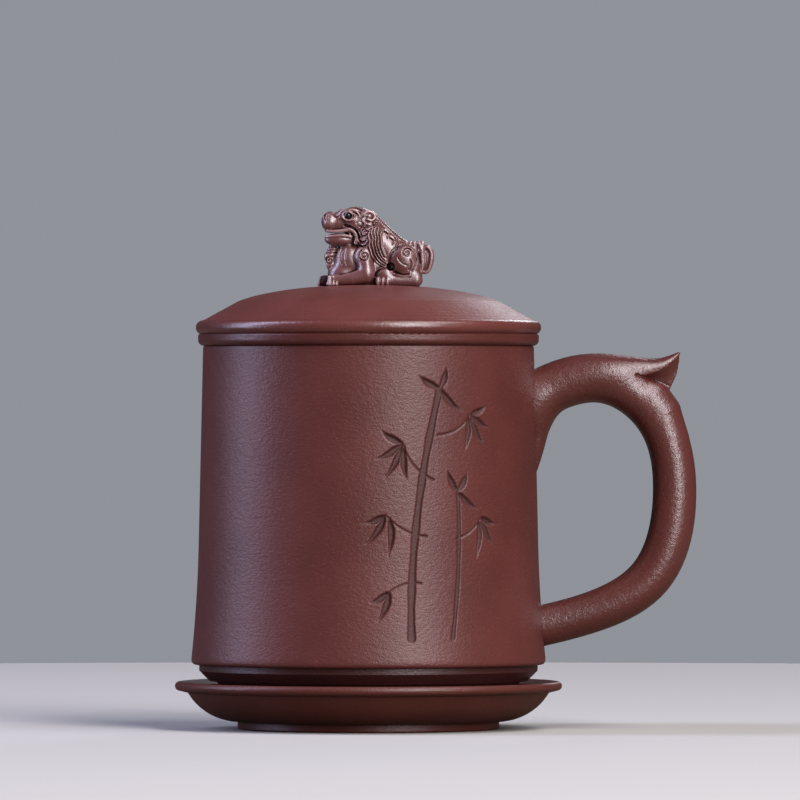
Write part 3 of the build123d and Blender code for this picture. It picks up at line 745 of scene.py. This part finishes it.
# forelegs: shoulder, arm, forearm and toes; the right paw lies ahead of the left
for side, lead in ((-1, 0), (1, 2.4)):
    clay.ball((-1.2, side * 4.3, 7.3), (2.5, 2.1, 2.8), soft=0.5)
    clay.roll([(-0.8, side * 4.7, 6.0), (-0.4, side * 5.1, 3.2)], (1.9, 2.1), soft=0.5)
    forearm = [
        (-0.6, side * 5.0, 2.7),
        (-4.2 - lead / 2, side * 5.3, 1.7),
        (-8.4 - lead, side * 5.2, 1.2),
    ]
    clay.roll(forearm, (2.3, 1.75, 1.35), soft=0.5)
    clay.ball((-9.2 - lead, side * 5.0, 1.1), (1.3, 1.5, 1.5), soft=0.3)
    for toe in (-10.1, -9.2, -8.3):
        outer = [(toe - lead, side * 5.9, 2.0), (toe - lead, side * 6.3, 0.2)]
        clay.roll(outer, (0.42, 0.5), soft=0.12)
    for spread in (-0.9, 0, 0.9):
        y = side * 5.0 + spread
        clay.roll([(-10.0 - lead, y, 1.9), (-10.5 - lead, y, 0.2)], (0.4, 0.45), soft=0.12)

# the head, turned a little to its left about the neck
clay.turn = radians(8)
clay.ball((-3.6, 0, 16.1), (4.5, 4.1, 4.2))
clay.ball((-7.6, 0, 16.3), (3.4, 2.9, 2.6))
clay.ball((-10.0, 0, 16.4), (2.3, 2.75, 2.7), soft=0.5)
clay.ball((-7.0, 0, 11.8), (4.5, 2.9, 1.9), soft=0.3)
for side in (-1, 1):
    clay.ball((-3.7, side * 2.8, 16.3), (1.9, 1.5, 1.9))
    clay.ball((-10.6, side * 1.5, 16.2), (1.3, 1.2, 1.5), soft=0.4)
    clay.ball((-6.2, side * 1.9, 17.8), (2.3, 1.4, 1.6), soft=0.6)
clay.ball((-9.6, 0, 13.25), (4.6, 5.0, 0.55), soft=-0.25)
for side in (-1, 1):
    lip = [(-11.0, 1.2, 14.0), (-9.2, 2.5, 13.9), (-6.8, 3.1, 14.1), (-5.0, 3.5, 14.4)]
    flap = [(-5.0, 3.5, 14.4), (-3.9, 3.8, 13.7), (-3.4, 3.8, 12.3), (-3.8, 3.5, 10.9)]
    gum = [(-11.0, 1.1, 12.5), (-9.2, 2.3, 12.7), (-6.8, 2.8, 12.8), (-5.0, 3.0, 12.5)]
    brow = [
        (-8.2, 1.4, 18.3), (-7.0, 2.3, 19.0), (-5.2, 2.8, 19.4), (-3.6, 3.2, 19.0),
        (-2.8, 3.6, 17.9),
    ]
    eyelid = [
        (-6.7, 3.7, 17.6), (-6.2, 4.1, 18.4), (-5.3, 4.3, 18.75), (-4.4, 4.2, 18.3),
        (-4.1, 4.0, 17.6),
    ]
    pouch = [(-6.5, 3.8, 17.3), (-5.8, 4.2, 16.9), (-5.0, 4.25, 16.85), (-4.3, 4.1, 17.3)]
    ear = [
        (-1.9, 4.3, 18.1), (-0.9, 4.2, 19.0), (0.5, 4.1, 18.7), (1.1, 4.3, 17.6),
        (0.3, 4.6, 16.7), (-0.8, 4.7, 17.0),
    ]
    lock = [(-2.2, 4.4, 16.7), (-1.1, 4.7, 15.8), (0.4, 4.6, 15.6), (1.5, 4.3, 16.3)]
    for points, thickness in (
        (lip, (0.3, 0.4, 0.55)),
        (flap, (0.65, 0.75, 0.5)),
        (gum, (0.35, 0.45, 0.4)),
        (brow, (0.45, 0.7, 0.45)),
        (eyelid, (0.3, 0.42, 0.3)),
        (pouch, (0.25, 0.35, 0.25)),
        (ear, (0.28, 0.42, 0.32)),
        (lock, (0.3, 0.5, 0.3)),
    ):
        line = smooth_line([(x, side * y, z) for x, y, z in points], 5 * len(points))
        clay.roll(line, thickness, soft=0.25)
    # inside the ear, an eye tooth, and the socket for the eye
    clay.ball((-0.4, side * 4.4, 17.8), (0.55, 0.55, 0.55), soft=0.15)
    clay.roll([(-5.3, side * 3.0, 14.2), (-5.3, side * 3.1, 12.9)], (0.35, 0.2), soft=0.1)
    clay.ball((-5.4, side * 4.1, 17.85), (1.1, 1.0, 1.1), soft=-0.2)
# the tongue
clay.ball((-7.4, 0, 12.9), (3.2, 2.3, 0.55), soft=0.2)
clay.turn = 0

# the tuft under its chin, the locks of the tail, and its curl
clay.roll([(-9.2, -0.6, 9.3), (-10.1, -0.6, 7.4), (-9.8, -0.6, 4.9)], (1.3, 1.4, 1.1), soft=0.3)
for x in (9.6, 10.7, 11.8, 12.9, 13.9):
    for y in (-1.7, 0, 1.7):
        clay.roll([(x, y, 8.9), (x + 0.1, y, 10.9 - 0.1 * abs(y))], (0.8, 0.6), soft=0.15)
for y in (-2.0, -0.7, 0.7, 2.0):
    hair = [(13.2, y, 10.6), (13.9, y, 8.6), (14.1, y, 6.0), (13.6, y, 3.0)]
    clay.roll(hair, (0.5, 0.6, 0.4), soft=0.15)
curl = [
    (14.2, 0, 9.0), (15.1, 0, 9.9), (16.1, 0, 9.0), (16.4, 0, 7.0), (16.0, 0, 5.0),
    (15.0, 0, 3.4), (14.0, 0, 3.4),
]
clay.ball((15.0, 0, 6.6), (1.5, 0.5, 3.3), soft=0.2)
clay.roll(smooth_line(curl, 36), (0.55, 0.7, 0.5), soft=0.15, wide=1.5)


def spiral(middle, radius, turns, start=0.0):
    """Points of a spiral that winds in to its middle, for a stroke."""
    points = []
    for k in range(25):
        share = k / 24
        reach, angle = radius * (1 - 0.85 * share), start + turns * 2 * pi * share
        points.append((middle[0] + reach * cos(angle), middle[1] + reach * sin(angle)))
    return points


# strokes: the mane falls over the shoulder in strands, each with a groove ahead of it
strands = [
    [
        (0.3, 13.6), (0.0, 12.6), (0.4, 11.4), (0.2, 10.2), (0.6, 9.0), (0.9, 7.8), (1.7, 6.5),
        (2.9, 5.3), (4.3, 4.6),
    ],
    [
        (1.1, 14.6), (0.8, 13.2), (1.2, 12.0), (1.0, 10.8), (1.3, 9.5), (1.6, 8.2), (2.3, 6.9),
        (3.4, 5.7), (4.7, 5.0),
    ],
    [
        (1.9, 14.9), (1.6, 13.6), (1.9, 12.4), (1.8, 11.1), (2.0, 9.8), (2.3, 8.5), (3.0, 7.2),
        (3.9, 6.2), (4.9, 5.6),
    ],
    [
        (2.7, 14.6), (2.4, 13.2), (2.6, 12.0), (2.5, 10.7), (2.8, 9.4), (3.2, 8.2), (3.8, 7.1),
        (4.6, 6.3),
    ],
    [(3.5, 14.0), (3.2, 12.7), (3.4, 11.4), (3.4, 10.1), (3.8, 8.7), (4.4, 7.4)],
]
for strand in strands:
    clay.draw(strand, 0.3, 0.35)
    clay.draw([(x - 0.38, z) for x, z in strand], 0.2, -0.32)

# locks behind the cheek and along the crest of the mane
waves = [
    [(-2.6, 12.6), (-1.9, 11.7), (-1.0, 11.6), (-0.6, 12.4)],
    [(-2.7, 11.4), (-1.9, 10.5), (-0.9, 10.5), (-0.4, 11.3)],
    [(-1.5, 14.8), (-1.9, 13.8), (-1.2, 13.0), (-0.5, 13.6)],
    [(-0.4, 16.0), (-0.9, 15.1), (-0.2, 14.3), (0.5, 14.9)],
    [(4.2, 14.3), (5.2, 13.4), (4.9, 12.5)],
    [(5.6, 12.6), (6.6, 11.7), (6.3, 10.9)],
]
for wave in waves:
    clay.draw(wave, 0.28, 0.35, beyond=2.2)
    clay.draw([(x, z - 0.45) for x, z in wave], 0.22, -0.35, beyond=2.2)

# folds of the chest, the limbs, the rump, the brow and the nose
for line in (
    [(-6.8, 9.6), (-7.4, 7.6), (-7.0, 5.4)],
    [(-5.6, 9.4), (-6.0, 7.4), (-5.7, 5.2)],
    [(-2.9, 3.9), (-5.0, 3.1), (-7.6, 2.6)],
    [(6.4, 2.6), (8.6, 1.9), (10.8, 2.0)],
    [(8.0, 11.0), (7.2, 10.0), (7.5, 8.9)],
    [(-4.6, 20.1), (-3.0, 19.9), (-1.7, 18.9), (-1.5, 17.7)],
    [(-3.9, 18.9), (-2.8, 18.2), (-2.6, 17.0), (-3.1, 16.0)],
    [(-9.4, 18.4), (-8.4, 17.6), (-7.6, 17.7)],
    [(7.6, 7.0), (8.6, 5.6), (10.0, 5.0)],
):
    clay.draw(line, 0.24, -0.28, beyond=1.5)

# the corner of the mouth, and curls on the shoulder, the haunch, the chest and the mane
cheek = [(-6.1, 15.5), (-4.9, 15.2), (-3.8, 14.6), (-2.9, 13.6), (-2.5, 12.2)]
clay.draw(cheek, 0.4, -0.9, beyond=1.5)
clay.draw(spiral((-1.1, 7.5), 1.5, 1.6, 2.0), 0.28, -0.5, beyond=3)
clay.draw(spiral((9.9, 8.3), 1.3, 1.4, 0.5), 0.28, -0.45, beyond=3)
clay.draw(spiral((-10.1, 6.3), 1.1, 1.4, 1.0), 0.26, -0.5, beyond=0, sides=(-1,))
clay.draw(spiral((1.9, 15.9), 0.9, 1.3, 1.0), 0.25, -0.4, beyond=2.2)

# folds of the haunch and the hind foot, the rim of the eye, locks of the chest
for line in (
    [(11.9, 8.6), (12.5, 7.0), (12.3, 5.2), (11.2, 3.6)],
    [(10.9, 6.4), (11.2, 5.2), (10.5, 3.9)],
    [(7.2, 3.4), (8.8, 2.7), (10.4, 2.8)],
):
    clay.draw(line, 0.26, -0.35, beyond=2.0)
ring = [(-5.4 + 1.25 * cos(k * pi / 12), 17.85 + 1.2 * sin(k * pi / 12)) for k in range(25)]
clay.draw(ring, 0.3, 0.3, beyond=1.5)
for z in (9.6, 8.9, 8.2):
    clay.draw([(-11.4, z), (-8.2, z + 0.2)], 0.22, -0.35, beyond=0, sides=(-1,))

# the line round the haunch, from the knee to the back
clay.draw([(5.2, 4.4), (3.8, 4.2), (2.5, 3.5), (1.7, 2.2)], 0.35, -0.5, beyond=3)
clay.draw([(5.4, 5.6), (5.5, 7.0), (6.2, 8.7), (7.6, 9.9)], 0.4, -0.45, beyond=3)

# the nostril, and the hair that is combed back from the brow and the cheek
for line in (
    [(-11.2, 18.2), (-11.4, 17.4), (-11.0, 16.8)],
    [(-10.5, 18.0), (-10.8, 17.2), (-10.4, 16.6)],
):
    clay.draw(line, 0.25, -0.4, beyond=1.0)
for line in (
    [(-6.9, 19.9), (-5.0, 20.0), (-3.0, 19.9), (-1.6, 19.3)],
    [(-2.4, 18.9), (-1.8, 17.6), (-2.2, 16.6)],
    [(-2.6, 15.4), (-1.2, 14.8), (0.4, 15.2), (1.8, 15.6)],
):
    clay.draw(line, 0.26, -0.4)

# the vent in its left flank
clay.roll([(5.75, -8, 4.7), (5.75, -2.4, 4.7)], (1.1, 1.1), soft=-0.12)

points, quads = clay.skin()
HOLLOW_REACH = 0.45  # how far round a place its hollowness is felt, in mm
hollow = clay.sample(clay.hollowness(HOLLOW_REACH), points)
beast = drawn_mesh(
    "guardian_beast",
    clay.low + points * clay.grain + [0, 0, dome_top],
    quads,
    knob_clay,
    hollow=hollow,
)
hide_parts(*[name for name in nodes if name.startswith("beast") and "eye" not in name])
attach(beast, "lid")

eye_glaze = bpy.data.materials.new("eye_glaze")
eye_glaze.use_nodes = True
bead_skin = eye_glaze.node_tree.nodes["Principled BSDF"]
bead_skin.inputs["Base Color"].default_value = (0.006, 0.005, 0.005, 1)
bead_skin.inputs["Roughness"].default_value = 0.12
dress(eye_glaze, "beast_eye_left", "beast_eye_right")

# ---------------------------------------------------------------- table
# A plain pale top, round, and wide enough to fill the view from side to side.
# It is pale to the camera alone: the clay gets no more light back from it than from a dark one.
PALE_TOP = (0.56, 0.55, 0.53, 1)
DARK_TOP = (0.17, 0.13, 0.1, 1)
bpy.ops.mesh.primitive_circle_add(vertices=96, radius=0.66, fill_type="NGON")
table = bpy.context.object
table.name = "table"
table_finish = bpy.data.materials.new("pale_table")
table_finish.use_nodes = True
table_skin = table_finish.node_tree.nodes["Principled BSDF"]
seen = Shade(table_finish.node_tree).node("ShaderNodeLightPath", {}, {}, "Is Camera Ray")
tone = blend(seen, DARK_TOP, PALE_TOP)
table_finish.node_tree.links.new(tone.socket, table_skin.inputs["Base Color"])
table_skin.inputs["Roughness"].default_value = 0.9
table_skin.inputs["Specular IOR Level"].default_value = 0.0
table.data.materials.append(table_finish)
